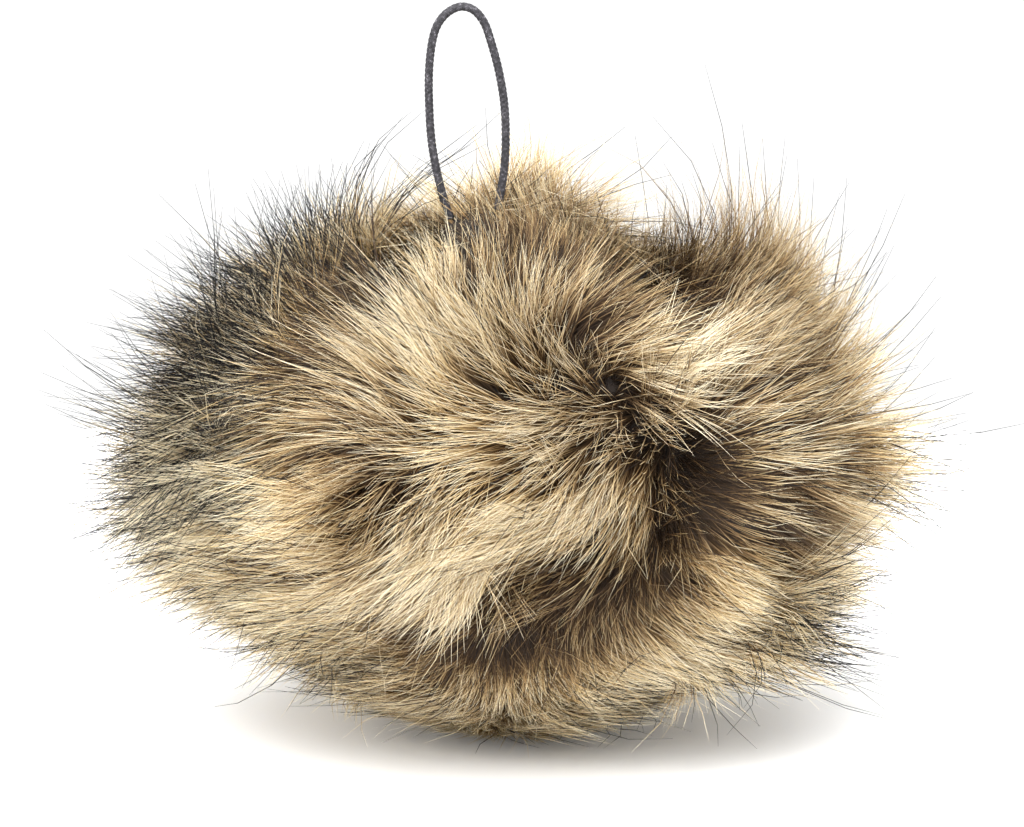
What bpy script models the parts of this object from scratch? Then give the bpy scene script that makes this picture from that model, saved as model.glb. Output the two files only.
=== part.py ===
"""Fur pom pom with an elastic loop, for a hat, a bag or a key ring.

A ball of long-haired fur fabric, gathered at the top, where both ends of a short
braided elastic go in. The hair stands in locks that part, lean and cross, so the
ball is wider than it is high and its outline is uneven. It rests on a small flat
spot, on which the lowest hair lies level.

Metres, +Z up. The origin is the middle of the flat spot. The front is towards -Y.
"""

import math
import random
from collections import namedtuple

import bmesh
import bpy
import numpy as np
from mathutils import Vector

# Driving dimensions, in metres
CENTRE_HEIGHT = 0.036
SPOT_RADIUS = 0.015
LOOP_DIAMETER = 0.0011

# Half sizes of the ball across, front to back, above and below its centre
Radii = namedtuple("Radii", "across deep above below")
ROOTS = Radii(across=0.0385, deep=0.0355, above=0.0305, below=0.0392)
TIPS = Radii(across=0.0580, deep=0.0535, above=0.0440, below=0.0460)

# The gathered mouth in the top, a low nub bare of hair that the elastic goes into
MOUTH_AZIMUTH = -48
MOUTH_ELEVATION = 77
MOUTH_HALF_ANGLE = 9.5
MOUTH_RADIUS = 0.0340
MOUTH_CORNERS = 8

# Azimuths are degrees from the front towards +X, elevations degrees above the
# middle. The hair lies away from a parting by up to `push` radians at its tips,
# and it is `dip` metres shorter there. `spread` is the parting's half width.
Parting = namedtuple("Parting", "azimuth elevation spread push dip")
PARTINGS = (
    Parting(azimuth=43, elevation=10, spread=23, push=0.28, dip=0.0085),
    Parting(azimuth=44, elevation=44, spread=17, push=0.16, dip=0.0060),
    Parting(azimuth=-3, elevation=-27, spread=17, push=0.14, dip=0.0045),
    Parting(azimuth=16, elevation=-12, spread=15, push=0.12, dip=0.0040),
    Parting(azimuth=-34, elevation=24, spread=20, push=0.14, dip=0.0040),
    Parting(azimuth=-75, elevation=-18, spread=20, push=0.14, dip=0.0045),
    Parting(azimuth=-112, elevation=28, spread=22, push=0.18, dip=0.0060),
    Parting(azimuth=105, elevation=20, spread=20, push=0.16, dip=0.0050),
    Parting(azimuth=116, elevation=60, spread=14, push=0.10, dip=0.0070),
    Parting(azimuth=146, elevation=-12, spread=22, push=0.18, dip=0.0060),
    Parting(azimuth=170, elevation=40, spread=20, push=0.16, dip=0.0050),
    Parting(azimuth=-154, elevation=-4, spread=22, push=0.18, dip=0.0060),
    Parting(azimuth=MOUTH_AZIMUTH, elevation=MOUTH_ELEVATION, spread=22, push=0.10, dip=0.0030),
)

# Places where the hair stands `lift` metres longer
Tuft = namedtuple("Tuft", "azimuth elevation spread lift")
TUFTS = (
    Tuft(azimuth=66, elevation=-42, spread=19, lift=0.0110),
    Tuft(azimuth=88, elevation=40, spread=14, lift=0.0035),
    Tuft(azimuth=-92, elevation=-10, spread=18, lift=0.0030),
    Tuft(azimuth=92, elevation=2, spread=16, lift=0.0020),
    Tuft(azimuth=8, elevation=30, spread=18, lift=0.0030),
    Tuft(azimuth=-140, elevation=-34, spread=18, lift=0.0040),
    Tuft(azimuth=176, elevation=4, spread=16, lift=0.0030),
    Tuft(azimuth=-60, elevation=52, spread=16, lift=0.0020),
)

# How the hair is divided into locks. Roots keep off the spot's and the mouth's
# edges by this share of their own spacing.
SCATTERED_ROOTS = 140
EDGE_ROOM = 0.6
SPOT_CORNERS = 11
SHORTEST_LOCK = 0.70
TIP_WANDER = 0.5
LOCK_SEED = 11

# A lock's cross-sections: how far out along the lock, and how wide against its root
Section = namedtuple("Section", "along width")
SECTIONS = (
    Section(along=0.24, width=0.62),
    Section(along=0.52, width=0.40),
    Section(along=0.78, width=0.22),
)

# The floor turns the hair aside from this angle below the top on, the more the
# lower it grows, and the lowest of it sags until its tips lie down
FLOOR_FROM = math.radians(70)
FLOOR_EASE = 1.6
SAG_FROM = 0.6
SAG = 0.75

# The hair leans more and more along its length, and not at all by the flat spot
LEAN_EASE = 1.6
LEAN_UNTIL = math.radians(115)

# The elastic's centre line, from the mouth up its left leg and down its right one.
# Both ends stop just under half a millimetre above the mouth's floor.
LOOP_ROUTE = (
    (-0.0082, -0.0048, 0.0689),
    (-0.0094, -0.0047, 0.0726),
    (-0.0105, -0.0045, 0.0780),
    (-0.0109, -0.0043, 0.0832),
    (-0.0109, -0.0041, 0.0884),
    (-0.0103, -0.0040, 0.0927),
    (-0.0091, -0.0039, 0.0950),
    (-0.0072, -0.0038, 0.0962),
    (-0.0054, -0.0038, 0.0959),
    (-0.0040, -0.0037, 0.0943),
    (-0.0031, -0.0037, 0.0918),
    (-0.0021, -0.0037, 0.0880),
    (-0.0014, -0.0038, 0.0838),
    (-0.0012, -0.0040, 0.0795),
    (-0.0014, -0.0042, 0.0752),
    (-0.0022, -0.0044, 0.0700),
)
LOOP_POINT_EVERY = 2 * LOOP_DIAMETER
STEPS_BETWEEN_POINTS = 24

CENTRE = Vector((0, 0, CENTRE_HEIGHT))
SPOT_EDGE_RADIUS = math.hypot(CENTRE_HEIGHT, SPOT_RADIUS)
SPOT_EDGE_ANGLE = math.pi - math.atan2(SPOT_RADIUS, CENTRE_HEIGHT)


def clear_scene():
    for obj in list(bpy.data.objects):
        bpy.data.objects.remove(obj, do_unlink=True)


def material(name, colour, roughness):
    """A Principled material of one colour."""
    made = bpy.data.materials.new(name)
    made.use_nodes = True
    shader = made.node_tree.nodes["Principled BSDF"]
    shader.inputs["Base Color"].default_value = (*colour, 1)
    shader.inputs["Roughness"].default_value = roughness
    shader.inputs["Metallic"].default_value = 0
    return made


def toward(azimuth, elevation):
    """The unit vector at an azimuth and an elevation in degrees."""
    turn = math.radians(azimuth)
    rise = math.radians(elevation)
    flat = math.cos(rise)
    return Vector((math.sin(turn) * flat, -math.cos(turn) * flat, math.sin(rise)))


def egg_radius(direction, radii):
    """How far an egg with these half sizes reaches from its centre in this direction."""
    height = radii.above if direction.z > 0 else radii.below
    scaled = (direction.x / radii.across, direction.y / radii.deep, direction.z / height)
    return 1 / math.hypot(*scaled)


def nearness(direction, feature):
    """1 at a parting or tuft, fading to none round it."""
    angle = direction.angle(toward(feature.azimuth, feature.elevation))
    return math.exp(-((angle / math.radians(feature.spread)) ** 2))


def relief(direction):
    """How much further than the plain egg the hair stands, from the tufts and partings."""
    raised = sum(tuft.lift * nearness(direction, tuft) for tuft in TUFTS)
    lowered = sum(parting.dip * nearness(direction, parting) for parting in PARTINGS)
    return raised - lowered


def lean(direction):
    """The sideways lean of the hair at its tips, in radians, away from every parting."""
    total = Vector((0, 0, 0))
    for parting in PARTINGS:
        centre = toward(parting.azimuth, parting.elevation)
        away = direction - centre * direction.dot(centre)
        if away.length < 1e-6:
            continue
        spreads = direction.angle(centre) / math.radians(parting.spread)
        total += away.normalized() * parting.push * spreads * math.exp((1 - spreads**2) / 2)
    return total


def eased(value, start, end):
    """0 up to start, 1 from end on, and a smooth rise between."""
    share = min(max((value - start) / (end - start), 0), 1)
    return share * share * (3 - 2 * share)


def above_floor(angle, radius, along):
    """The angle from the top at which hair of this radius clears the floor, or lies on it."""
    lowest = SPOT_EDGE_ANGLE - FLOOR_FROM
    share = min(max(angle - FLOOR_FROM, 0) / lowest, 1)
    floor_angle = math.pi - math.acos(CENTRE_HEIGHT / max(radius, SPOT_EDGE_RADIUS))
    turned = angle - share**FLOOR_EASE * (SPOT_EDGE_ANGLE - floor_angle)
    return turned + (floor_angle - turned) * SAG * along**2 * eased(share, SAG_FROM, 1)


def place(direction, along):
    """The point `along` the hair (0 at its root, 1 at full reach) that grows in this direction."""
    root = egg_radius(direction, ROOTS) + relief(direction) / 2
    reach = egg_radius(direction, TIPS) + relief(direction)
    radius = root + along * (reach - root)
    down = math.acos(min(max(direction.z, -1), 1))
    free = 1 - eased(down, LEAN_UNTIL, SPOT_EDGE_ANGLE)
    leaned = (direction + lean(direction) * free * along**LEAN_EASE).normalized()
    angle = min(math.acos(min(max(leaned.z, -1), 1)), SPOT_EDGE_ANGLE)
    angle = above_floor(angle, radius, along)
    flat = Vector((leaned.x, leaned.y, 0)).normalized()
    return CENTRE + flat * radius * math.sin(angle) + Vector((0, 0, radius * math.cos(angle)))


def ring_of_directions(centre, half_angle, corners):
    """Unit vectors evenly spaced round a direction, at one angle from it."""
    side = centre.orthogonal().normalized()
    other = centre.cross(side)
    ring = []
    for corner in range(corners):
        turn = 2 * math.pi * corner / corners
        across = side * math.cos(turn) + other * math.sin(turn)
        ring.append(centre * math.cos(half_angle) + across * math.sin(half_angle))
    return ring


def scattered_directions(count):
    """Evenly scattered unit vectors, on a spiral from top to bottom."""
    golden_turn = math.pi * (3 - math.sqrt(5))
    for step in range(count):
        height = 1 - (2 * step + 1) / count
        flat = math.sqrt(1 - height * height)
        turn = golden_turn * step
        yield Vector((flat * math.cos(turn), flat * math.sin(turn), height))


def backing_shell(bm):
    """Joins the roots' places into a closed shell of triangles, and returns its hairy ones."""
    spacing = math.sqrt(4 * math.pi / SCATTERED_ROOTS)
    down = Vector((0, 0, -1))
    mouth = toward(MOUTH_AZIMUTH, MOUTH_ELEVATION)
    spot_half_angle = math.pi - SPOT_EDGE_ANGLE
    mouth_half_angle = math.radians(MOUTH_HALF_ANGLE)
    spot_ring = [bm.verts.new(v) for v in ring_of_directions(down, spot_half_angle, SPOT_CORNERS)]
    mouth_ring = [bm.verts.new(v) for v in ring_of_directions(mouth, mouth_half_angle, MOUTH_CORNERS)]
    for direction in scattered_directions(SCATTERED_ROOTS):
        off_spot = direction.angle(down) - spot_half_angle
        off_mouth = direction.angle(mouth) - mouth_half_angle
        if min(off_spot, off_mouth) > EDGE_ROOM * spacing:
            bm.verts.new(direction)
    bmesh.ops.convex_hull(bm, input=bm.verts)
    bare = [f for f in bm.faces if set(f.verts) <= set(spot_ring) or set(f.verts) <= set(mouth_ring)]
    bmesh.ops.dissolve_faces(bm, faces=bare)
    return [f for f in bm.faces if len(f.verts) == 3], spot_ring, mouth_ring


def grow_lock(bm, root_face, directions, dice):
    """Raises a three-sided lock, narrowing to a point, from one triangle of the backing."""
    corners = [directions[v] for v in root_face.verts]
    middle = sum(corners, Vector()) / 3
    shares = [dice.random() for _ in corners]
    leaning_to = sum((c * s for c, s in zip(corners, shares)), Vector()) / sum(shares)
    wander = (leaning_to - middle) * TIP_WANDER
    length = dice.uniform(SHORTEST_LOCK, 1)
    below = list(root_face.verts)
    bm.faces.remove(root_face)
    for section in SECTIONS:
        centre = middle + wander * section.along
        ring = []
        for corner in corners:
            outward = (centre + (corner - middle) * section.width).normalized()
            ring.append(bm.verts.new(place(outward, section.along * length)))
        for first, second in ((0, 1), (1, 2), (2, 0)):
            bm.faces.new((below[first], below[second], ring[second], ring[first]))
        below = ring
    tip = bm.verts.new(place((middle + wander).normalized(), length))
    for first, second in ((0, 1), (1, 2), (2, 0)):
        bm.faces.new((below[first], below[second], tip))


def make_fur_ball():
    """The gathered fur: a backing with a flat spot and a mouth, and all its locks."""
    dice = random.Random(LOCK_SEED)
    bm = bmesh.new()
    hairy_faces, spot_ring, mouth_ring = backing_shell(bm)
    directions = {vert: vert.co.normalized() for vert in bm.verts}
    for vert, direction in directions.items():
        if vert in spot_ring:
            vert.co = CENTRE + direction * SPOT_EDGE_RADIUS
            vert.co.z = 0
        elif vert in mouth_ring:
            vert.co = CENTRE + direction * MOUTH_RADIUS
        else:
            vert.co = place(direction, 0)
    for face in hairy_faces:
        grow_lock(bm, face, directions, dice)
    bmesh.ops.triangulate(bm, faces=bm.faces)
    bmesh.ops.recalc_face_normals(bm, faces=bm.faces)
    mesh = bpy.data.meshes.new("fur_ball")
    bm.to_mesh(mesh)
    bm.free()
    mesh.materials.append(material("tan fur", (0.42, 0.31, 0.18), 0.8))
    ball = bpy.data.objects.new("fur_ball", mesh)
    bpy.context.collection.objects.link(ball)
    return ball, len(hairy_faces)


def smooth_line(route, spacing):
    """Points at an even spacing on a smooth curve through all the route's points."""
    points = np.array(route)
    before = 2 * points[0] - points[1]
    after = 2 * points[-1] - points[-2]
    padded = np.vstack((before, points, after))
    fine = []
    for p0, p1, p2, p3 in zip(padded, padded[1:], padded[2:], padded[3:]):
        for share in np.linspace(0, 1, STEPS_BETWEEN_POINTS, endpoint=False):
            straight = 2 * p1 + (p2 - p0) * share
            bent = (2 * p0 - 5 * p1 + 4 * p2 - p3) * share**2
            turned = (3 * p1 - p0 - 3 * p2 + p3) * share**3
            fine.append((straight + bent + turned) / 2)
    fine.append(points[-1])
    fine = np.array(fine)
    lengths = np.concatenate(([0], np.cumsum(np.linalg.norm(np.diff(fine, axis=0), axis=1))))
    wanted = np.linspace(0, lengths[-1], round(lengths[-1] / spacing) + 1)
    even = np.column_stack([np.interp(wanted, lengths, fine[:, axis]) for axis in range(3)])
    return even, lengths[-1]


def make_elastic_loop():
    """The braided elastic, a thin round cord bent into one upright loop."""
    line, length = smooth_line(LOOP_ROUTE, LOOP_POINT_EVERY)
    curve = bpy.data.curves.new("elastic_loop", "CURVE")
    curve.dimensions = "3D"
    curve.bevel_depth = LOOP_DIAMETER / 2
    curve.bevel_resolution = 2
    curve.use_fill_caps = True
    spline = curve.splines.new("POLY")
    spline.points.add(len(line) - 1)
    for point, position in zip(spline.points, line):
        point.co = (*position, 1)
    curve.materials.append(material("charcoal elastic", (0.035, 0.034, 0.038), 0.75))
    loop = bpy.data.objects.new("elastic_loop", curve)
    bpy.context.collection.objects.link(loop)
    return length


def main():
    clear_scene()
    ball, locks = make_fur_ball()
    length = make_elastic_loop()
    print(f"{locks} locks, {len(ball.data.polygons)} triangles, an elastic {1000 * length:.1f} mm long")


main()
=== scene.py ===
# %% [markdown]
# # A fur pom pom with an elastic loop
#
# The real thing is one round of long-haired fur fabric, gathered at its edge into
# a soft ball. Both ends of a thin braided elastic go into the gathers. This script
# dresses the two plain solids of the frame: it grows the hair, braids the elastic
# and lights the pair like a studio photograph on white.
#
# Fur is made of layers, as in the fabric: a dark knitted skin that shows only deep
# in the partings, a dense underfur, longer guard hairs with black tips, and a few
# pale hairs that stray from the rest.

# %% Load the frame
import math
from collections import namedtuple

import bmesh
import bpy
import numpy as np
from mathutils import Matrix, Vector


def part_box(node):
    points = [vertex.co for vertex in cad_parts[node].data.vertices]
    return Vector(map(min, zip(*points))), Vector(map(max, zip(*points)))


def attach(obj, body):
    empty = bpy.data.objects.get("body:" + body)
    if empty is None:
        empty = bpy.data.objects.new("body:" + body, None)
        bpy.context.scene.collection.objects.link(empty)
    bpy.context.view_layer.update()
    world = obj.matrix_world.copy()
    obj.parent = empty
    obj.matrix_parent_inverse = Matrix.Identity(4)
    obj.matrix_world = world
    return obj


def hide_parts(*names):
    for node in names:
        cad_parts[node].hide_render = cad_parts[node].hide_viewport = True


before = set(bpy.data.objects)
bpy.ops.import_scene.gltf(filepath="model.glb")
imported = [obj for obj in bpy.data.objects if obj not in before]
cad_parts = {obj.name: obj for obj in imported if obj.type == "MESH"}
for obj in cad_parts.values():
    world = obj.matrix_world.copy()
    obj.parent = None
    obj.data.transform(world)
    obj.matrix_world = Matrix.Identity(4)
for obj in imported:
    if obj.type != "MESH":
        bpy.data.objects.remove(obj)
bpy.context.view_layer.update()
MM = 0.001
BALL_LOW, BALL_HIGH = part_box("fur_ball")
BALL_SIZE = [round((high - low) / MM, 1) for low, high in zip(BALL_LOW, BALL_HIGH)]
print("the frame's ball measures", BALL_SIZE, "mm")

# %% [markdown]
# ## The camera first
#
# The photograph looks at the ball a little from above, through a long lens, so near
# and far parts show at nearly the same scale. The picture takes in just under 132 mm
# at the ball's middle. Its centre lies a little left of the ball's middle and above
# it, because the loop stands up nearly to the top edge.

# %% Camera
CENTRE = Vector((0, 0, 36 * MM))
RISE_DEGREES = 15
CAMERA_RISE = math.radians(RISE_DEGREES)
CAMERA_DISTANCE = 1.2
PICTURE_WIDTH = 131.6 * MM
SENSOR_WIDTH = 36
NEAREST_SEEN = 0.05
AIM = CENTRE + Vector((-0.4 * MM, 0, 5.9 * MM))

camera_data = bpy.data.cameras.new("camera")
camera_data.sensor_width = SENSOR_WIDTH
camera_data.lens = SENSOR_WIDTH * CAMERA_DISTANCE / PICTURE_WIDTH
camera_data.clip_start = NEAREST_SEEN
camera = bpy.data.objects.new("camera", camera_data)
bpy.context.collection.objects.link(camera)
toward_camera = Vector((0, -math.cos(CAMERA_RISE), math.sin(CAMERA_RISE)))
camera.location = AIM + toward_camera * CAMERA_DISTANCE
camera.rotation_euler = (-toward_camera).to_track_quat("-Z", "Y").to_euler()
bpy.context.scene.camera = camera
print(f"lens {camera_data.lens:.0f} mm at {CAMERA_DISTANCE} m")

# %% [markdown]
# ## Directions round the ball
#
# Every hair grows from near the ball's middle outwards, so a place on the ball is
# best said as a direction. The functions here take many directions at once, as rows
# of an array, because thousands of guide hairs are worked out together.
#
# The ball is an egg: 99 mm of dense fur across, 78 mm high and a little less deep
# than wide. `EGG_SKIN` is the knitted skin under the fur, and `EGG_FUR` is as far as
# a hair of full length would reach. Most hairs end about half way between the two.
# At a parting the skin is pulled in too, by `SKIN_DIP` of what the hair loses.

# %% The egg
Radii = namedtuple("Radii", "across deep above below")
EGG_SKIN = Radii(across=36.5 * MM, deep=33.5 * MM, above=28.5 * MM, below=31.5 * MM)
SKIN_DIP = 0.5
EGG_FUR = Radii(across=69 * MM, deep=56 * MM, above=44.5 * MM, below=42 * MM)


def unit(rows):
    return rows / np.maximum(np.linalg.norm(rows, axis=-1, keepdims=True), 1e-9)


def toward(azimuth, elevation):
    """The unit vector at an azimuth from the front towards +X and an elevation, in degrees."""
    turn, rise = math.radians(azimuth), math.radians(elevation)
    level = math.cos(rise)
    return np.array((math.sin(turn) * level, -math.cos(turn) * level, math.sin(rise)))


def egg_radius(directions, radii):
    height = np.where(directions[:, 2] > 0, radii.above, radii.below)
    across, deep = directions[:, 0] / radii.across, directions[:, 1] / radii.deep
    return 1 / np.sqrt(across**2 + deep**2 + (directions[:, 2] / height) ** 2)


def angles_to(directions, middle):
    return np.arccos(np.clip(directions @ middle, -1, 1))


print(f"skin {2 * EGG_SKIN.across / MM:.0f} mm across")

# %% [markdown]
# ## Partings and tufts
#
# Gathering pulls the fabric into folds, so the hair parts along them, and between
# them it stands in tufts. Much the same places shape the solid in the frame. At the
# middle of a parting a hair of full length is shorter by `dip`, and hair near by
# leans away from it by up to `push` radians. At a tuft it is longer by `lift`.

# %% Partings and tufts
Parting = namedtuple("Parting", "azimuth elevation spread dip push")
PARTINGS = (
    Parting(azimuth=-36, elevation=64, spread=15, dip=7 * MM, push=0.12),
    Parting(azimuth=47, elevation=5, spread=17, dip=10 * MM, push=0.36),
    Parting(azimuth=47, elevation=52, spread=14, dip=10 * MM, push=0.25),
    Parting(azimuth=116, elevation=60, spread=14, dip=9 * MM, push=0.15),
    Parting(azimuth=-3, elevation=-27, spread=15, dip=6 * MM, push=0.25),
    Parting(azimuth=16, elevation=-12, spread=12, dip=5 * MM, push=0.15),
    Parting(azimuth=-75, elevation=-18, spread=18, dip=3 * MM, push=0.10),
    Parting(azimuth=-112, elevation=28, spread=20, dip=4 * MM, push=0.10),
    Parting(azimuth=97, elevation=-20, spread=14, dip=6 * MM, push=0.10),
    Parting(azimuth=118, elevation=20, spread=18, dip=4 * MM, push=0.05),
    Parting(azimuth=146, elevation=-12, spread=22, dip=7 * MM, push=0.25),
    Parting(azimuth=170, elevation=40, spread=20, dip=6 * MM, push=0.25),
    Parting(azimuth=-154, elevation=-4, spread=22, dip=7 * MM, push=0.20),
)
Tuft = namedtuple("Tuft", "azimuth elevation spread lift")
TUFTS = (
    Tuft(azimuth=63, elevation=-34, spread=13, lift=13 * MM),
    Tuft(azimuth=20, elevation=82, spread=15, lift=14 * MM),
    Tuft(azimuth=-84, elevation=26, spread=16, lift=2 * MM),
    Tuft(azimuth=86, elevation=38, spread=14, lift=7 * MM),
    Tuft(azimuth=84, elevation=6, spread=17, lift=11 * MM),
    Tuft(azimuth=-90, elevation=-14, spread=18, lift=10 * MM),
    Tuft(azimuth=8, elevation=30, spread=18, lift=3 * MM),
    Tuft(azimuth=-140, elevation=-34, spread=18, lift=4 * MM),
    Tuft(azimuth=176, elevation=4, spread=16, lift=3 * MM),
)


def nearness(directions, feature):
    """One at the feature's middle, and less away from it."""
    angle = angles_to(directions, toward(feature.azimuth, feature.elevation))
    return np.exp(-((angle / math.radians(feature.spread)) ** 2))


def relief(directions):
    """How much further than the plain egg the hair reaches."""
    total = np.zeros(len(directions))
    for tuft in TUFTS:
        total += tuft.lift * nearness(directions, tuft)
    for parting in PARTINGS:
        total -= parting.dip * nearness(directions, parting)
    return total


print(len(PARTINGS), "partings and", len(TUFTS), "tufts")

# %% [markdown]
# ## Combing
#
# Fur has a nap: it lies over to one side, and that side changes from place to place.
# Here it is combed by strokes, as one would draw them on a photograph. A stroke is
# seen from one side of the ball, named by its azimuth, and goes from `start` to
# `end`, each given as millimetres right of and above the ball's middle, on an egg of
# the half sizes `TIPS`. Hair that grows near the start of a stroke leans towards its
# end. Between the strokes the lean is the average of those nearby, so a few dozen
# strokes comb the whole ball. `UNCOMBED` weighs hair that stands straight, so a
# place far from all strokes isn't combed at all. Last, hair is pushed away from the
# partings, most of all a spread away from their middles.

# %% Strokes of the comb
Stroke = namedtuple("Stroke", "side start end")
STROKES = (
    Stroke(0, (-9, 25), (-8, 36)),
    Stroke(0, (-2, 24), (4, 36)),
    Stroke(0, (6, 26), (14, 34)),
    Stroke(0, (24, 22), (35, 32)),
    Stroke(0, (4, 19), (16, 17)),
    Stroke(0, (10, 20), (25, 20)),
    Stroke(0, (24, 20), (38, 22)),
    Stroke(0, (36, 8), (48, 11)),
    Stroke(0, (34, 14), (44, 19)),
    Stroke(0, (40, 3), (48, 5)),
    Stroke(0, (40, -9), (47, -14)),
    Stroke(0, (33, -18), (42, -25)),
    Stroke(0, (25, -25), (37, -33)),
    Stroke(0, (10, -26), (16, -37)),
    Stroke(0, (27, 6), (14, -4)),
    Stroke(0, (29, -6), (20, -17)),
    Stroke(0, (18, -10), (8, -19)),
    Stroke(0, (18, 5), (7, -8)),
    Stroke(0, (6, -2), (1, -14)),
    Stroke(0, (0, -22), (-2, -34)),
    Stroke(0, (-16, -22), (-30, -27)),
    Stroke(0, (-28, -10), (-44, -14)),
    Stroke(0, (-32, 2), (-48, 4)),
    Stroke(0, (-26, 15), (-42, 12)),
    Stroke(0, (-22, 28), (-37, 22)),
    Stroke(0, (-10, 29), (-22, 33)),
    Stroke(0, (-8, 8), (-22, 4)),
    Stroke(90, (0, 20), (6, 26)),
    Stroke(90, (14, -10), (22, -14)),
    Stroke(180, (-20, 14), (-28, 20)),
    Stroke(180, (-26, 22), (-38, 27)),
    Stroke(180, (-12, 28), (-22, 34)),
    Stroke(180, (12, 26), (24, 22)),
    Stroke(180, (26, 20), (40, 16)),
    Stroke(270, (-12, 22), (-24, 18)),
    Stroke(270, (4, 24), (2, 12)),
    Stroke(180, (-16, -14), (-22, -22)),
    Stroke(180, (18, 6), (27, 8)),
    Stroke(180, (16, -20), (22, -27)),
    Stroke(270, (-6, 10), (-14, 12)),
    Stroke(270, (8, -16), (14, -22)),
)
STROKE_SPREAD = math.radians(16)
UNCOMBED = 0.4
TIPS = (50, 46, 39)
TIP_SHARE = 0.5
BEND = 1.0
MOST_LEAN = 0.9


def seen_at(side, spot):
    """The direction from the ball's middle of a spot that is seen from this side."""
    turn = math.radians(side)
    right = np.array((math.cos(turn), math.sin(turn), 0))
    near = toward(side, RISE_DEGREES)
    up = np.cross(right, -near)
    across, deep, high = TIPS
    flat = np.array((spot[0] / across, spot[1] / high))
    depth = math.sqrt(max(0, 1 - flat @ flat)) * deep
    return unit(right * spot[0] + up * spot[1] + near * depth)


def bent(share):
    """How much of its lean a hair has at a share of its length. It is one at a usual tip."""
    return (1 - np.exp(-BEND * share)) / (1 - np.exp(-BEND * TIP_SHARE))


def lean(directions):
    """For each direction, the sideways vector by which a usual hair's tip has moved."""
    total = np.zeros_like(directions)
    weights = np.full(len(directions), UNCOMBED)
    for stroke in STROKES:
        start, end = seen_at(stroke.side, stroke.start), seen_at(stroke.side, stroke.end)
        near = np.exp(-((angles_to(directions, start) / STROKE_SPREAD) ** 2))
        total += near[:, None] * (end - start)
        weights += near
    total /= weights[:, None]
    for parting in PARTINGS:
        middle = toward(parting.azimuth, parting.elevation)
        away = angles_to(directions, middle) / math.radians(parting.spread)
        pushed = parting.push * away * np.exp(0.5 - 0.5 * away**2)
        total += unit(directions - middle) * pushed[:, None]
    return total - directions * (total * directions).sum(1)[:, None]


print(len(STROKES), "strokes comb the ball")

# %% [markdown]
# ## The way of one hair
#
# A hair bends over to lie along the nap: it leans over most near its root and less
# and less towards its tip, while its distance from the middle grows evenly. The lean
# is kept under a limit, which is smaller near the bottom, and little of it may point
# down, because the hair there has the floor under it. Where there is no room to grow
# down, it fans out and lies level instead.

# %% Clear of the floor
FLOOR_FROM = math.radians(75)
FLOOR_EASE = 1.6
FLOOR_GAP = 0.25 * MM


def clear_of_floor(down, radius):
    """The angle from straight up, turned aside as far as the floor asks."""
    share = np.clip((down - FLOOR_FROM) / (math.pi - FLOOR_FROM), 0, 1)
    height = CENTRE.z - FLOOR_GAP
    floor_angle = math.pi - np.arccos(height / np.maximum(radius, height))
    return down - share**FLOOR_EASE * (math.pi - floor_angle)


def place(directions, radius):
    """Points at these distances from the middle, kept off the floor."""
    down = np.arccos(np.clip(directions[:, 2], -1, 1))
    down = clear_of_floor(down, radius)
    flat = unit(directions * (1, 1, 0))
    level = flat * (radius * np.sin(down))[:, None]
    return np.array(CENTRE) + level + np.outer(radius * np.cos(down), (0, 0, 1))


lowest = place(np.array(((0.0, 0.0, -1.0),)), np.array((EGG_FUR.below,)))
print(f"straight down, fur ends {lowest[0, 2] / MM:.2f} mm above the floor")

# %% The shape of the skin
NUB = toward(azimuth=-48, elevation=77)
NUB_RADIUS = 34.2 * MM
NUB_HALF_ANGLE = math.radians(9.5)
NUB_STEEPNESS = 6


def on_nub(directions):
    """One on the gathered nub in the top, and none beyond its edge."""
    return np.exp(-((angles_to(directions, NUB) / NUB_HALF_ANGLE) ** NUB_STEEPNESS))


def skin_radius(directions):
    """The skin is pulled in at the partings too, and it stands up where it is gathered."""
    pulled = sum(parting.dip * nearness(directions, parting) for parting in PARTINGS)
    plain = egg_radius(directions, EGG_SKIN) - SKIN_DIP * pulled
    return plain + (NUB_RADIUS - plain) * on_nub(directions)


print(f"the gathered nub stands {NUB_RADIUS / MM:.1f} mm from the middle")

# %% The way of a hair
MOST_SINKING = 0.3
FREE_LEAN_FROM = math.radians(80)


def way(directions, shares, reach, sway):
    """An array (hairs, shares, 3) of the points of hairs that grow in these directions.

    A share is one number for all hairs, or a row of numbers with one for each hair."""
    skin = skin_radius(directions)
    full = egg_radius(directions, EGG_FUR) + relief(directions)
    moved = lean(directions) + sway
    bottom = np.array((0, 0, -1))
    most = MOST_LEAN * np.minimum(1, angles_to(directions, bottom) / FREE_LEAN_FROM)
    moved = moved / np.maximum(1, np.linalg.norm(moved, axis=1) / most)[:, None]
    downward = unit(bottom - directions * (directions @ bottom)[:, None])
    sinking = (moved * downward).sum(1) - MOST_SINKING * angles_to(directions, bottom)
    moved = moved - downward * np.maximum(0, sinking)[:, None]
    points = []
    for share in shares:
        turned = unit(directions + moved * np.reshape(bent(share), (-1, 1)))
        points.append(place(turned, skin + (full * reach - skin) * share))
    return np.stack(points, axis=1)


def lengths_of(hairs):
    return np.linalg.norm(np.diff(hairs, axis=1), axis=2).sum(axis=1)


to_right = np.array(((1.0, 0.0, 0.0),))
right_hair = way(to_right, np.linspace(0, 1, 9), 1.0, 0.0)
print(f"a full hair at the right is {lengths_of(right_hair)[0] / MM:.0f} mm long")
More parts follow.
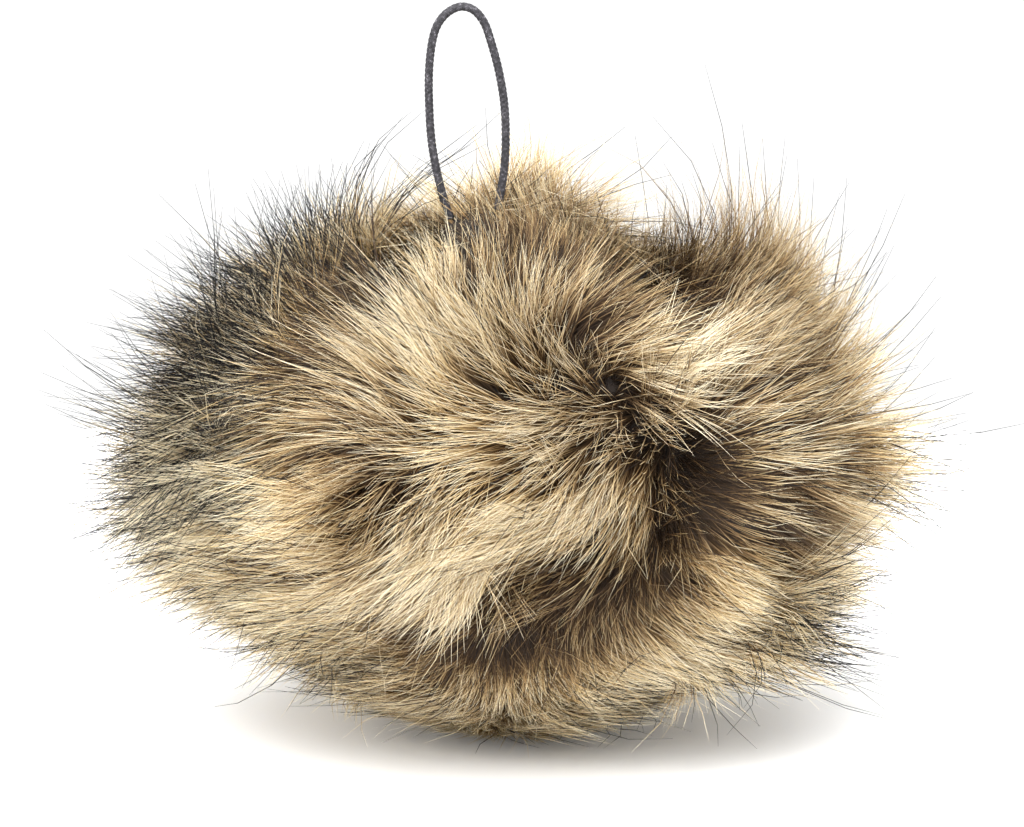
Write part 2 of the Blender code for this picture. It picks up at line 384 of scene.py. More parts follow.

# %% [markdown]
# ## The skin
#
# The fabric's knitted back is a closed ball about three quarters as wide as the dense
# fur. It could be a squashed sphere, but its mesh also carries the hair, so it is
# made from evenly spread triangles: an icosphere pushed out to the egg. The elastic
# goes into a low nub in the top, where the fabric is gathered and bare of hair.
#
# The mesh also says what kind of hair grows where. Black-tipped hair stands in bands,
# and shade is painted into the hair's colour in the hollows and at the top and bottom,
# so a few round zones, placed like the strokes, add up to how much of each there is.
# A shade zone with a share below zero paints hair paler instead, as painted light.

# %% Zones of guard hair and of painted shade
Zone = namedtuple("Zone", "side spot spread share")
GUARD_ZONES = (
    Zone(0, (-22, 30), 12, 1.0),
    Zone(0, (-34, 24), 12, 2.2),
    Zone(0, (-42, 14), 12, 1.7),
    Zone(0, (-48, 2), 13, 0.6),
    Zone(0, (-42, -16), 13, 0.3),
    Zone(0, (-24, -32), 12, 0.3),
    Zone(0, (48, 7), 8, 1.6),
    Zone(0, (50, -3), 8, 0.6),
    Zone(0, (44, -42), 6, 1.1),
    Zone(0, (16, -38), 12, 0.3),
    Zone(180, (16, 18), 18, 0.2),
    Zone(180, (34, -6), 20, 0.5),
    Zone(180, (0, -30), 18, 0.5),
)
GUARD_SHARE_ELSEWHERE = 0.05
# Painted shade: a zone darkens the hair whose tips come out there, and a share below zero paints it
# paler as painted light.
PAINTED_SHADE_ZONES = (
    Zone(0, (25, 1), 11, 1.2),
    Zone(0, (33, -4), 11, 1.0),
    Zone(0, (23, -12), 10, 0.8),
    Zone(0, (13, -21), 12, 1.0),
    Zone(0, (-3, -28), 12, 0.8),
    Zone(0, (17, 25), 10, 1.1),
    Zone(0, (29, 25), 9, 0.9),
    Zone(0, (-30, 20), 14, 0.7),
    Zone(0, (-36, 12), 12, 0.4),
    Zone(0, (-34, -7), 11, 0.4),
    Zone(0, (-22, -26), 12, 0.5),
    Zone(0, (31, 6), 9, 1.6),
    Zone(0, (36, -2), 9, 1.6),
    Zone(0, (0, -34), 13, 2.2),
    Zone(0, (-16, -32), 11, 0.6),
    Zone(0, (16, -32), 10, 0.5),
    Zone(0, (5, 34), 12, 1.2),
    Zone(0, (24, 18), 8, -0.9),
    Zone(0, (38, 15), 7, -0.7),
    Zone(0, (48, 6), 7, -0.8),
    Zone(0, (46, -14), 9, -0.4),
    Zone(0, (-46, -6), 9, -0.4),
    Zone(0, (-47, 5), 9, -0.4),
    Zone(180, (-30, -4), 16, 0.5),
    Zone(180, (10, 14), 16, 0.5),
    Zone(180, (20, -22), 16, 0.4),
    Zone(90, (10, 10), 14, 0.4),
    Zone(90, (-4, 25), 13, 1.0),
    Zone(270, (0, -4), 14, 0.4),
)


def tips_of(directions):
    """Where hairs that grow in these directions come to the surface of the fur."""
    return unit(directions + lean(directions))


def zone_sum(directions, zones):
    tips = tips_of(directions)
    total = np.zeros(len(directions))
    for zone in zones:
        angle = angles_to(tips, seen_at(zone.side, zone.spot))
        total += zone.share * np.exp(-((angle / math.radians(zone.spread)) ** 2))
    return total


def guard_share(directions):
    """How thickly the black-tipped hairs stand at each place."""
    return GUARD_SHARE_ELSEWHERE + zone_sum(directions, GUARD_ZONES)


print(len(GUARD_ZONES), "zones of guard hair and", len(PAINTED_SHADE_ZONES), "of shade")

# %% Skin mesh
SKIN_DETAIL = 5


def ball_mesh(name):
    bm = bmesh.new()
    bmesh.ops.create_icosphere(bm, subdivisions=SKIN_DETAIL, radius=1)
    rows = unit(np.array([v.co for v in bm.verts]))
    spots = place(rows, skin_radius(rows))
    for vert, spot in zip(bm.verts, spots):
        vert.co = spot
    bmesh.ops.recalc_face_normals(bm, faces=bm.faces)
    mesh = bpy.data.meshes.new(name)
    bm.to_mesh(mesh)
    bm.free()
    mesh.shade_smooth()
    # The shade map carries the zones' painted shade to the hairs.
    hairy = 1 - on_nub(rows)
    maps = {
        "all_over": hairy,
        "in_zones": hairy * guard_share(rows),
        "shade": zone_sum(rows, PAINTED_SHADE_ZONES),
    }
    for label, values in maps.items():
        attribute = mesh.attributes.new(label, "FLOAT", "POINT")
        attribute.data.foreach_set("value", values.astype(np.float32))
    return mesh


skin = bpy.data.objects.new("fur_skin", ball_mesh("fur_skin"))
bpy.context.collection.objects.link(skin)
print(len(skin.data.polygons), "faces of skin")

# %% [markdown]
# ## Guide hairs
#
# Combing every hair on its own would be slow and too even. Real fur hangs together
# in thin locks, so a few thousand guide hairs are worked out first, one for each
# lock, and the rest follow them. Each guide sways a little from the nap, by itself
# and with its neighbours, and its length varies, which is what makes the locks part
# and cross. The fabric's pile is cut to one length, so a guide that would sweep far
# over the ball is cut short as well, at the share at which it would be as long as
# `LONGEST_GUIDE` if it grew evenly. It comes out a little longer or shorter than that.

# %% Locks of hair
dice = np.random.default_rng(41)


def spread_directions(count, wobble):
    """Evenly scattered directions, each moved aside a little."""
    step = np.arange(count)
    height = 1 - (2 * step + 1) / count
    turn = math.pi * (3 - math.sqrt(5)) * step
    flat = np.sqrt(1 - height**2)
    rows = np.column_stack((flat * np.cos(turn), flat * np.sin(turn), height))
    return unit(rows + dice.normal(0, wobble * math.sqrt(4 * math.pi / count), rows.shape))


LOCKS = 420
LOCK_SCATTER = 0.4
LOCKS_THAT_MEET = 3
LOCK_SWAY = 0.26
LOCK_SPREAD = math.radians(9)


def lock_sway(directions):
    """A sway that neighbouring hairs share, so that they lean together in broad locks."""
    middles = spread_directions(LOCKS, LOCK_SCATTER)
    sways = dice.normal(0, LOCK_SWAY, middles.shape)
    near = np.exp(-((angles_to(directions, middles.T) / LOCK_SPREAD) ** 2))
    return near @ sways / np.sqrt((near**2).sum(1) * LOCKS_THAT_MEET)[:, None]


print(LOCKS, "broad locks")

# %% Guide hairs
GUIDES = 5200
GUIDE_SHARES = np.linspace(0, 1, 9)
GUIDE_SCATTER = 0.35
GUIDE_SWAY = 0.12
GUIDE_REACH = (0.90, 1.0)
LONGEST_GUIDE = 44 * MM

guide_directions = spread_directions(GUIDES, GUIDE_SCATTER)
guide_sway = dice.normal(0, GUIDE_SWAY, guide_directions.shape)
guide_sway += lock_sway(guide_directions)
guide_reach = dice.uniform(*GUIDE_REACH, GUIDES)
whole = way(guide_directions, GUIDE_SHARES, guide_reach, guide_sway)
kept_share = np.minimum(1, LONGEST_GUIDE / lengths_of(whole))
cut_shares = np.outer(GUIDE_SHARES, kept_share)
guide_points = way(guide_directions, cut_shares, guide_reach, guide_sway)
guide_curves = bpy.data.hair_curves.new("guides")
guide_curves.add_curves([len(GUIDE_SHARES)] * GUIDES)
guide_curves.position_data.foreach_set("vector", guide_points.astype(np.float32).ravel())
guides = bpy.data.objects.new("guides", guide_curves)
bpy.context.collection.objects.link(guides)
print(GUIDES, "guides, the longest", round(lengths_of(guide_points).max() / MM, 1), "mm")

# %% [markdown]
# ## A node tree that grows fur
#
# Geometry Nodes scatter roots over the skin and give each root a hair. Each hair
# finds its own guide and a second one nearby, follows a mix of the two, and draws in
# towards them along its length, so hairs end in pointed locks and some cross over to
# the next one. A ribbon of a few faces is enough for a hair of the underfur, a tenth
# of a millimetre wide. The fewer hairs that stand out from it are three-sided tubes,
# which look the same from all sides but take three times the faces.
#
# The named inputs are the sizes that differ from layer to layer. `Shortest`, `Usual`
# and `Longest` are shares of a guide's length. `Mingle` is how far off a hair's
# second guide may stand, `Clump` is how much a hair is drawn in to its guides, and
# `Frizz` is how far its tip may curl away.

# %% Helpers for writing a node tree
class Tree:
    """Adds nodes to a node tree with short calls, and links whatever is passed to them."""

    def __init__(self, name):
        self.tree = bpy.data.node_groups.new(name, "GeometryNodeTree")

    def input(self, name, kind, default=None):
        socket = self.tree.interface.new_socket(name, in_out="INPUT", socket_type=kind)
        if default is not None:
            socket.default_value = default

    def node(self, kind, inputs=None, **settings):
        made = self.tree.nodes.new(kind)
        for key, value in settings.items():
            setattr(made, key, value)
        for key, value in (inputs or {}).items():
            socket = made.inputs[key]
            if isinstance(value, bpy.types.NodeSocket):
                self.tree.links.new(value, socket)
            else:
                socket.default_value = value
        return made

    def out(self, kind, inputs=None, **settings):
        """The first output of a new node."""
        return self.node(kind, inputs, **settings).outputs[0]

    def math(self, operation, *values):
        return self.out("ShaderNodeMath", dict(enumerate(values)), operation=operation)

    def vector(self, operation, *values):
        return self.out("ShaderNodeVectorMath", dict(enumerate(values)), operation=operation)

    def scaled(self, vector, scale):
        return self.out("ShaderNodeVectorMath", {0: vector, "Scale": scale}, operation="SCALE")

    def mixed(self, first, second, share):
        return self.vector("ADD", first, self.scaled(self.vector("SUBTRACT", second, first), share))

    def clamped(self, value, low, high):
        return self.out("ShaderNodeClamp", {"Value": value, "Min": low, "Max": high})

    def random(self, low, high, seed):
        made = self.node("FunctionNodeRandomValue", {2: low, 3: high, "Seed": seed})
        return made.outputs[1]

    def random_vector(self, seed):
        """A vector whose three parts lie between -1 and 1."""
        inputs = {0: (-1.0, -1.0, -1.0), 1: (1.0, 1.0, 1.0), "Seed": seed}
        return self.out("FunctionNodeRandomValue", inputs, data_type="FLOAT_VECTOR")

    def stored(self, geometry, name, value, kind="FLOAT", domain="POINT"):
        inputs = {"Geometry": geometry, "Name": name, "Value": value}
        return self.out("GeometryNodeStoreNamedAttribute", inputs, data_type=kind, domain=domain)

    def named(self, name, kind="FLOAT"):
        return self.out("GeometryNodeInputNamedAttribute", {"Name": name}, data_type=kind)


fur = Tree("grow_fur")
print("an empty tree,", fur.tree.name)

# %% Inputs of the tree
FUR_INPUTS = (
    ("Guides", "NodeSocketObject", None),
    ("Hairs per Square Metre", "NodeSocketFloat", 1e6),
    ("Where", "NodeSocketString", "all_over"),
    ("Steps", "NodeSocketInt", 5),
    ("Sides", "NodeSocketInt", 1),
    ("Root Width", "NodeSocketFloat", 0.14 * MM),
    ("Tip Width", "NodeSocketFloat", 0.12),
    ("Shortest", "NodeSocketFloat", 0.6),
    ("Usual", "NodeSocketFloat", 0.84),
    ("Longest", "NodeSocketFloat", 1.0),
    ("Mingle", "NodeSocketFloat", 2.0 * MM),
    ("Clump", "NodeSocketFloat", 0.7),
    ("Frizz", "NodeSocketFloat", 1.0 * MM),
    ("Seed", "NodeSocketInt", 1),
    ("Material", "NodeSocketMaterial", None),
)
fur.input("Geometry", "NodeSocketGeometry")
for name, kind, default in FUR_INPUTS:
    fur.input(name, kind, default)
fur.tree.interface.new_socket("Geometry", in_out="OUTPUT", socket_type="NodeSocketGeometry")
given = fur.tree.nodes.new("NodeGroupInput").outputs
print(len(FUR_INPUTS), "named inputs besides the skin")

# %% [markdown]
# Inside the tree the guides are curves. A point at the root of each one lets a hair
# find the guide that stands nearest to a spot on the skin.

# %% Finding a guide
guides_in = fur.node("GeometryNodeObjectInfo", {"Object": given["Guides"]}).outputs["Geometry"]
guide_sizes = fur.node("GeometryNodeAttributeDomainSize", {"Geometry": guides_in}, component="CURVE")
guide_count = guide_sizes.outputs["Spline Count"]
index = fur.out("GeometryNodeInputIndex")


def on_guide(which, share):
    """The point at a share of a guide's length."""
    inputs = {"Curves": guides_in, "Curve Index": which, "Factor": share}
    return fur.node("GeometryNodeSampleCurve", inputs, mode="FACTOR").outputs["Position"]


guide_roots = fur.out("GeometryNodePoints", {"Count": guide_count, "Position": on_guide(index, 0.0)})


def nearest_guide(spot):
    return fur.out("GeometryNodeSampleNearest", {"Geometry": guide_roots, "Sample Position": spot})


print(len(fur.tree.nodes), "nodes find a guide")

# %% [markdown]
# Roots are scattered over the skin, and each keeps what makes its hair unlike its
# neighbours: the two guides that it follows and how much it heeds each, how far it
# reaches, how strongly it is drawn in, its tone, how much painted shade darkens it and
# which way it strays. Most hairs are nearly of the usual length, and a few are a good
# deal longer.
# The tone changes in soft patches over the ball as well as from hair to hair.

# %% A root and a character for each hair
LONG_HAIR_POWER = 5.0
SHARE_POWER = 1.6
LEAST_DRAWN = 0.25
PATCH_SCALE = 70.0
PATCH_GAIN = 1.8
PATCH_SHIFT = -0.4
TONE_SPREAD = 0.2
TONE_RANGE = (0.02, 0.97)
PAINTED_SHADE_SPREAD = 0.15
PAINTED_SHADE_RANGE = (-0.2, 1.2)
seed = given["Seed"]


def draw(low, high, series):
    """A random number for each hair. Every series of numbers has its own seed."""
    return fur.random(low, high, fur.math("ADD", seed, series))


density = fur.math("MULTIPLY", fur.named(given["Where"]), given["Hairs per Square Metre"])
scattered = fur.node(
    "GeometryNodeDistributePointsOnFaces",
    {"Mesh": given["Geometry"], "Density": density, "Seed": seed},
)
here = fur.out("GeometryNodeInputPosition")
astray = fur.scaled(fur.random_vector(seed), given["Mingle"])
to_usual = fur.math("SUBTRACT", given["Usual"], given["Shortest"])
to_longest = fur.math("SUBTRACT", given["Longest"], given["Usual"])
usual = fur.math("MULTIPLY", fur.math("SQRT", draw(0.0, 1.0, 1.0)), to_usual)
longer = fur.math("MULTIPLY", fur.math("POWER", draw(0.0, 1.0, 2.0), LONG_HAIR_POWER), to_longest)
patch = fur.out("ShaderNodeTexNoise", {"Vector": here, "Scale": PATCH_SCALE, "Detail": 2.0})
patch_tone = fur.math("MULTIPLY_ADD", patch, PATCH_GAIN, PATCH_SHIFT)
tone = fur.math("ADD", patch_tone, draw(-TONE_SPREAD, TONE_SPREAD, 5.0))
# The depth of a hair is its painted shade: the zones' sum, a little different for each hair.
depth = fur.math("ADD", fur.named("shade"), draw(-PAINTED_SHADE_SPREAD, PAINTED_SHADE_SPREAD, 6.0))
CHARACTER = (
    ("root", here, "FLOAT_VECTOR"),
    ("first", nearest_guide(here), "INT"),
    ("second", nearest_guide(fur.vector("ADD", here, astray)), "INT"),
    ("reach", fur.math("ADD", given["Shortest"], fur.math("ADD", usual, longer)), "FLOAT"),
    ("share", fur.math("POWER", draw(0.0, 1.0, 3.0), SHARE_POWER), "FLOAT"),
    ("draw", draw(LEAST_DRAWN, 1.0, 4.0), "FLOAT"),
    ("tone", fur.clamped(tone, *TONE_RANGE), "FLOAT"),
    ("depth", fur.clamped(depth, *PAINTED_SHADE_RANGE), "FLOAT"),
    ("stray", fur.random_vector(fur.math("ADD", seed, 7.0)), "FLOAT_VECTOR"),
)
points = scattered.outputs["Points"]
for name, value, kind in CHARACTER:
    points = fur.stored(points, name, value, kind)
print(len(CHARACTER), "things that each hair knows about itself")

# %% [markdown]
# Every root gets the same short straight line, which knows how far along it each of
# its points lies. The next steps bend it, and give it its length and its width.

# %% A line for each root
line = fur.out("GeometryNodeCurvePrimitiveLine", {"Start": (0, 0, 0), "End": (0, 0, MM)})
line = fur.out("GeometryNodeResampleCurve", {"Curve": line, "Count": given["Steps"]})
line = fur.stored(line, "along", fur.node("GeometryNodeSplineParameter").outputs["Factor"])
hairs = fur.out("GeometryNodeInstanceOnPoints", {"Points": points, "Instance": line})
hairs = fur.out("GeometryNodeRealizeInstances", {"Geometry": hairs})
print(len(fur.tree.nodes), "nodes so far")

# %% [markdown]
# A hair starts at its own root and not at its guide's. What lies between the two
# fades out towards the tip, so the hair is drawn in to its guides. Slow waves and the
# way it strays push it aside again, and less so near the floor, where it has no room.

# %% Bending the hairs
CLUMP_POWER = 0.8
WAVE_SCALE = 120.0
WAVE_SIZE = 1.6
WAVE_OFFSET = 0.05
CURL_POWER = 2.0
FREE_HEIGHT = 10 * MM
LOWEST_HAIR = 0.2 * MM

along, share = fur.named("along"), fur.named("share")
one, two = fur.named("first", "INT"), fur.named("second", "INT")
stray = fur.named("stray", "FLOAT_VECTOR")
on_way = fur.math("MULTIPLY", along, fur.named("reach"))
path = fur.mixed(on_guide(one, on_way), on_guide(two, on_way), share)
path_root = fur.mixed(on_guide(one, 0.0), on_guide(two, 0.0), share)
clumped = fur.math("MULTIPLY", fur.math("POWER", along, CLUMP_POWER), given["Clump"])
drawn_in = fur.math("MULTIPLY", clumped, fur.named("draw"))
apart = fur.vector("SUBTRACT", fur.named("root", "FLOAT_VECTOR"), path_root)
apart = fur.scaled(apart, fur.math("SUBTRACT", 1.0, drawn_in))

wave_spot = fur.vector("ADD", path, fur.scaled(stray, WAVE_OFFSET))
wave = fur.node("ShaderNodeTexNoise", {"Vector": wave_spot, "Scale": WAVE_SCALE, "Detail": 1.0})
wave = fur.vector("SUBTRACT", wave.outputs["Color"], (0.5, 0.5, 0.5))
curl = fur.scaled(stray, fur.math("POWER", along, CURL_POWER))
frizz = fur.vector("ADD", fur.scaled(wave, WAVE_SIZE), curl)
height = fur.node("ShaderNodeSeparateXYZ", {0: path}).outputs["Z"]
room = fur.math("MINIMUM", fur.math("MULTIPLY", height, 1 / FREE_HEIGHT), 1.0)
frizz = fur.scaled(fur.scaled(frizz, fur.math("MULTIPLY", along, room)), given["Frizz"])

level = fur.out("ShaderNodeCombineXYZ", {"X": 1.0, "Y": 1.0, "Z": room})
aside = fur.vector("MULTIPLY", fur.vector("ADD", apart, frizz), level)
spot = fur.vector("MAXIMUM", fur.vector("ADD", path, aside), (-1.0, -1.0, LOWEST_HAIR))
hairs = fur.out("GeometryNodeSetPosition", {"Geometry": hairs, "Position": spot})
print(len(fur.tree.nodes), "nodes so far")

# %% [markdown]
# A curve shows only once a profile is swept along it: a flat line for the underfur,
# and a triangle for the hairs that stand out. A ribbon lies with its flat side out,
# each one turned a little from that, so that they don't all shine alike. Its width
# shrinks towards the tip.

# %% Ribbons and tubes
RIBBON_TWIST = 0.5
NARROWING_POWER = 2.5
TONE_ACROSS = 0.004

outward = fur.vector("SUBTRACT", fur.out("GeometryNodeInputPosition"), tuple(CENTRE))
outward = fur.vector("ADD", fur.vector("NORMALIZE", outward), fur.scaled(stray, RIBBON_TWIST))
sideways = fur.vector("CROSS_PRODUCT", fur.out("GeometryNodeInputTangent"), outward)
hairs = fur.out("GeometryNodeSetCurveNormal", {"Curve": hairs, "Normal": sideways}, mode="FREE")

flat = fur.out("GeometryNodeCurvePrimitiveLine", {"Start": (-0.5, 0, 0), "End": (0.5, 0, 0)})
tube = fur.out("GeometryNodeCurvePrimitiveCircle", {"Resolution": 3, "Radius": 0.5})
is_tube = fur.math("GREATER_THAN", given["Sides"], 2.0)
either = {"Switch": is_tube, "False": flat, "True": tube}
profile = fur.out("GeometryNodeSwitch", either, input_type="GEOMETRY")
profile = fur.stored(profile, "edge", fur.math("MULTIPLY", index, TONE_ACROSS))

thinning = fur.math("SUBTRACT", 1.0, given["Tip Width"])
lost = fur.math("MULTIPLY", fur.math("POWER", along, NARROWING_POWER), thinning)
width = fur.math("MULTIPLY", given["Root Width"], fur.math("SUBTRACT", 1.0, lost))
swept = {"Curve": hairs, "Profile Curve": profile, "Scale": width}
mesh = fur.out("GeometryNodeCurveToMesh", swept)
print(len(fur.tree.nodes), "nodes so far")

# %% [markdown]
# Each hair carries a chart, a map from which its colour is read: its tone goes
# across the chart, and how pale it has become goes up. Painted shade keeps a hair in a
# hollow dark along more of its length, and never lets it become quite as pale as the others.

# %% The chart of a hair
# Painted shade lengthens the dark part of a hair by this gain and takes this much off its palest
# colour.
DARK_LENGTH_GAIN = 2.1
PALENESS_LOSS = 0.4

painted_shade_of_hair = fur.named("depth")
dark_length = fur.math("MULTIPLY_ADD", painted_shade_of_hair, DARK_LENGTH_GAIN, 1.0)
palest = fur.math("MULTIPLY_ADD", painted_shade_of_hair, -PALENESS_LOSS, 1.0)
paleness = fur.math("MULTIPLY", fur.math("POWER", along, dark_length), palest)
across = fur.math("ADD", fur.named("tone"), fur.named("edge"))
chart = fur.out("ShaderNodeCombineXYZ", {"X": across, "Y": paleness})
mesh = fur.stored(mesh, "OFBake", chart, "FLOAT2", "CORNER")
print(len(fur.tree.nodes), "nodes so far")

# %% The end of the tree
used_up = [name for name, value, kind in CHARACTER]
for name in (*used_up, "along", "edge", "shade", "in_zones", "all_over"):
    mesh = fur.out("GeometryNodeRemoveAttribute", {"Geometry": mesh, "Name": name})
mesh = fur.out("GeometryNodeRealizeInstances", {"Geometry": mesh})
mesh = fur.out("GeometryNodeSetMaterial", {"Geometry": mesh, "Material": given["Material"]})
fur.tree.links.new(mesh, fur.tree.nodes.new("NodeGroupOutput").inputs[0])
grow_fur = fur.tree
print(len(grow_fur.nodes), "nodes grow the fur")

# %% [markdown]
# ## What colour a hair is
#
# Most hairs are dark brown at the root, tan along most of their length and cream at
# the tip, and no two are quite alike. The guard hairs end in black, and the strays
# are pale. Every chart says which tone its hair has and how pale it is at each
# point, so one material colours thousands of different hairs.

# %% Fur materials
def srgb(code):
    """A linear colour from a hexadecimal one."""
    parts = [int(code[k : k + 2], 16) / 255 for k in (0, 2, 4)]
    linear = [p / 12.92 if p <= 0.04045 else ((p + 0.055) / 1.055) ** 2.4 for p in parts]
    return (*linear, 1)


Stop = namedtuple("Stop", "at colour")
GOLDEN = (
    Stop(0.0, "23170c"), Stop(0.30, "443019"), Stop(0.50, "967549"),
    Stop(0.68, "d3b781"), Stop(0.92, "f5ebcd"),
)
ASHEN = (
    Stop(0.0, "1e150d"), Stop(0.36, "3b2c1c"), Stop(0.57, "7d6950"),
    Stop(0.75, "bca885"), Stop(0.95, "eadec3"),
)
BLACK_TIPPED = (
    Stop(0.0, "2a1f17"), Stop(0.30, "4a3a2b"), Stop(0.45, "352b24"),
    Stop(0.60, "161517"), Stop(0.9, "0c0d0f"),
)
PALE = (Stop(0.0, "2a1f17"), Stop(0.35, "8a6c46"), Stop(0.6, "d2b987"), Stop(0.95, "efe2bd"))
FUR_SPECULAR = 0.2

# A colour mix keeps its two colours at these inputs, and its result at this output.
MIX_FIRST = 6
MIX_SECOND = 7
MIX_RESULT = 2


def ramp(tree, stops, position):
    """The colour at a position between these stops."""
    node = tree.nodes.new("ShaderNodeValToRGB")
    while len(node.color_ramp.elements) < len(stops):
        node.color_ramp.elements.new(0.5)
    for element, stop in zip(node.color_ramp.elements, stops):
        element.position = stop.at
        element.color = srgb(stop.colour)
    tree.links.new(position, node.inputs[0])
    return node.outputs[0]


def hair_material(name, first, second, roughness):
    made = bpy.data.materials.new(name)
    made.use_nodes = True
    tree = made.node_tree
    shader = tree.nodes["Principled BSDF"]
    chart = tree.nodes.new("ShaderNodeUVMap")
    chart.uv_map = "OFBake"
    parts = tree.nodes.new("ShaderNodeSeparateXYZ")
    tree.links.new(chart.outputs[0], parts.inputs[0])
    mix = tree.nodes.new("ShaderNodeMix")
    mix.data_type = "RGBA"
    tree.links.new(parts.outputs["X"], mix.inputs["Factor"])
    tree.links.new(ramp(tree, first, parts.outputs["Y"]), mix.inputs[MIX_FIRST])
    tree.links.new(ramp(tree, second, parts.outputs["Y"]), mix.inputs[MIX_SECOND])
    tree.links.new(mix.outputs[MIX_RESULT], shader.inputs["Base Color"])
    shader.inputs["Roughness"].default_value = roughness
    shader.inputs["Specular IOR Level"].default_value = FUR_SPECULAR
    return made


underfur_look = hair_material("underfur", ASHEN, GOLDEN, roughness=0.55)
guard_look = hair_material("guard_hair", BLACK_TIPPED, BLACK_TIPPED, roughness=0.45)
stray_look = hair_material("stray_hair", PALE, ASHEN, roughness=0.5)
print("looks:", underfur_look.name, guard_look.name, stray_look.name)

# %% [markdown]
# ## Grow it
#
# The tree runs on a copy of the skin once for each layer. The result is made a plain
# mesh, so that nothing is left to be worked out later. The underfur is the bulk of
# the hair. It is grown in four layers that differ only in their seed, which keeps
# every piece small enough to handle.

# %% Growing a layer
def grown(name, settings):
    carrier = bpy.data.objects.new(name, skin.data.copy())
    bpy.context.collection.objects.link(carrier)
    grower = carrier.modifiers.new("fur", "NODES")
    grower.node_group = grow_fur
    for item in grow_fur.interface.items_tree:
        if item.in_out == "INPUT" and item.name in settings:
            grower[item.identifier] = settings[item.name]
    graph = bpy.context.evaluated_depsgraph_get()
    mesh = bpy.data.meshes.new_from_object(carrier.evaluated_get(graph), depsgraph=graph)
    carrier.modifiers.remove(grower)
    carrier.data = mesh
    mesh.name = name
    triangles = sum(len(p.vertices) - 2 for p in mesh.polygons)
    print(name, triangles, "triangles")
    return carrier


skin_area = sum(p.area for p in skin.data.polygons)
print(f"{skin_area / MM**2:.0f} square millimetres of skin")

# %% The underfur
UNDERFUR_LAYERS = 4
UNDERFUR_HAIRS = 27500
layers = []
for layer in range(UNDERFUR_LAYERS):
    settings = {
        "Guides": guides,
        "Hairs per Square Metre": UNDERFUR_HAIRS / skin_area,
        "Steps": 4,
        "Root Width": 0.11 * MM,
        "Shortest": 0.26,
        "Usual": 0.52,
        "Longest": 0.78,
        "Clump": 0.25,
        "Frizz": 1.1 * MM,
        "Seed": 100 * (layer + 1),
        "Material": underfur_look,
    }
    layers.append(grown(f"underfur_{layer + 1}", settings))

# %% [markdown]
# The guard hairs stand only in their zones. Their density is divided by how thickly
# they stand on average, so that `GUARD_HAIRS` is about their number. The strays are
# few, follow their guides loosely and soften the outline.

# %% Guard hairs and strays
GUARD_HAIRS = 5600
STRAY_HAIRS = 2600
SAMPLES = 4000
mean_share = float(np.mean(guard_share(spread_directions(SAMPLES, 0))))
layers.append(grown("guard_hair", {
    "Guides": guides,
    "Hairs per Square Metre": GUARD_HAIRS / skin_area / mean_share,
    "Where": "in_zones",
    "Steps": 5,
    "Sides": 3,
    "Root Width": 0.15 * MM,
    "Tip Width": 0.25,
    "Shortest": 0.45,
    "Usual": 0.80,
    "Longest": 0.96,
    "Mingle": 4.0 * MM,
    "Clump": 0.6,
    "Frizz": 1.8 * MM,
    "Seed": 900,
    "Material": guard_look,
}))
layers.append(grown("stray_hair", {
    "Guides": guides,
    "Hairs per Square Metre": STRAY_HAIRS / skin_area,
    "Steps": 5,
    "Sides": 3,
    "Root Width": 0.12 * MM,
    "Shortest": 0.35,
    "Usual": 0.72,
    "Longest": 1.0,
    "Mingle": 8.0 * MM,
    "Clump": 0.2,
    "Frizz": 4.0 * MM,
    "Seed": 950,
    "Material": stray_look,
}))

# %% [markdown]
# ## The elastic loop
#
# The elastic is a round braid, 1.1 mm thick, charcoal, with paler flecks painted on as
# highlights where the yarns would catch the light. It is a free cord 58 mm long, and it
# follows the route that the frame's plain cord has. A round tube with a picture of a
# braid would do from afar. Here the tube's surface itself rises and falls where the
# yarns cross, which holds from close up as well and needs no picture.

# %% The route of the loop
LOOP_DIAMETER = 1.1 * MM
LOOP_ROUTE = MM * np.array((
    (-8.2, -4.8, 68.9), (-9.4, -4.7, 72.6), (-10.5, -4.5, 78.0), (-10.9, -4.3, 83.2),
    (-10.9, -4.1, 88.4), (-10.3, -4.0, 92.7), (-9.1, -3.9, 95.0), (-7.2, -3.8, 96.2),
    (-5.4, -3.8, 95.9), (-4.0, -3.7, 94.3), (-3.1, -3.7, 91.8), (-2.1, -3.7, 88.0),
    (-1.4, -3.8, 83.8), (-1.2, -4.0, 79.5), (-1.4, -4.2, 75.2), (-2.2, -4.4, 70.0),
))


def smooth_line(route, spacing, steps=24):
    """Points at an even spacing on a smooth curve through the route's points."""
    padded = np.vstack((2 * route[0] - route[1], route, 2 * route[-1] - route[-2]))
    fine = []
    for p0, p1, p2, p3 in zip(padded, padded[1:], padded[2:], padded[3:]):
        square, cube = 2 * p0 - 5 * p1 + 4 * p2 - p3, 3 * p1 - p0 - 3 * p2 + p3
        for on in np.linspace(0, 1, steps, endpoint=False):
            curved = square * on**2 + cube * on**3
            fine.append((2 * p1 + (p2 - p0) * on + curved) / 2)
    fine = np.array(fine + [route[-1]])
    lengths = np.concatenate(([0], np.cumsum(np.linalg.norm(np.diff(fine, axis=0), axis=1))))
    wanted = np.linspace(0, lengths[-1], round(lengths[-1] / spacing) + 1)
    return np.column_stack([np.interp(wanted, lengths, fine[:, k]) for k in range(3)]), lengths[-1]


print(len(LOOP_ROUTE), "points along the loop")

# %% The braid
CARRIERS = 8
RING = 32
BRAID_ROW = 0.16 * MM
BRAID_LAY = 2.6 * MM
BRAID_DEPTH = 0.05 * MM


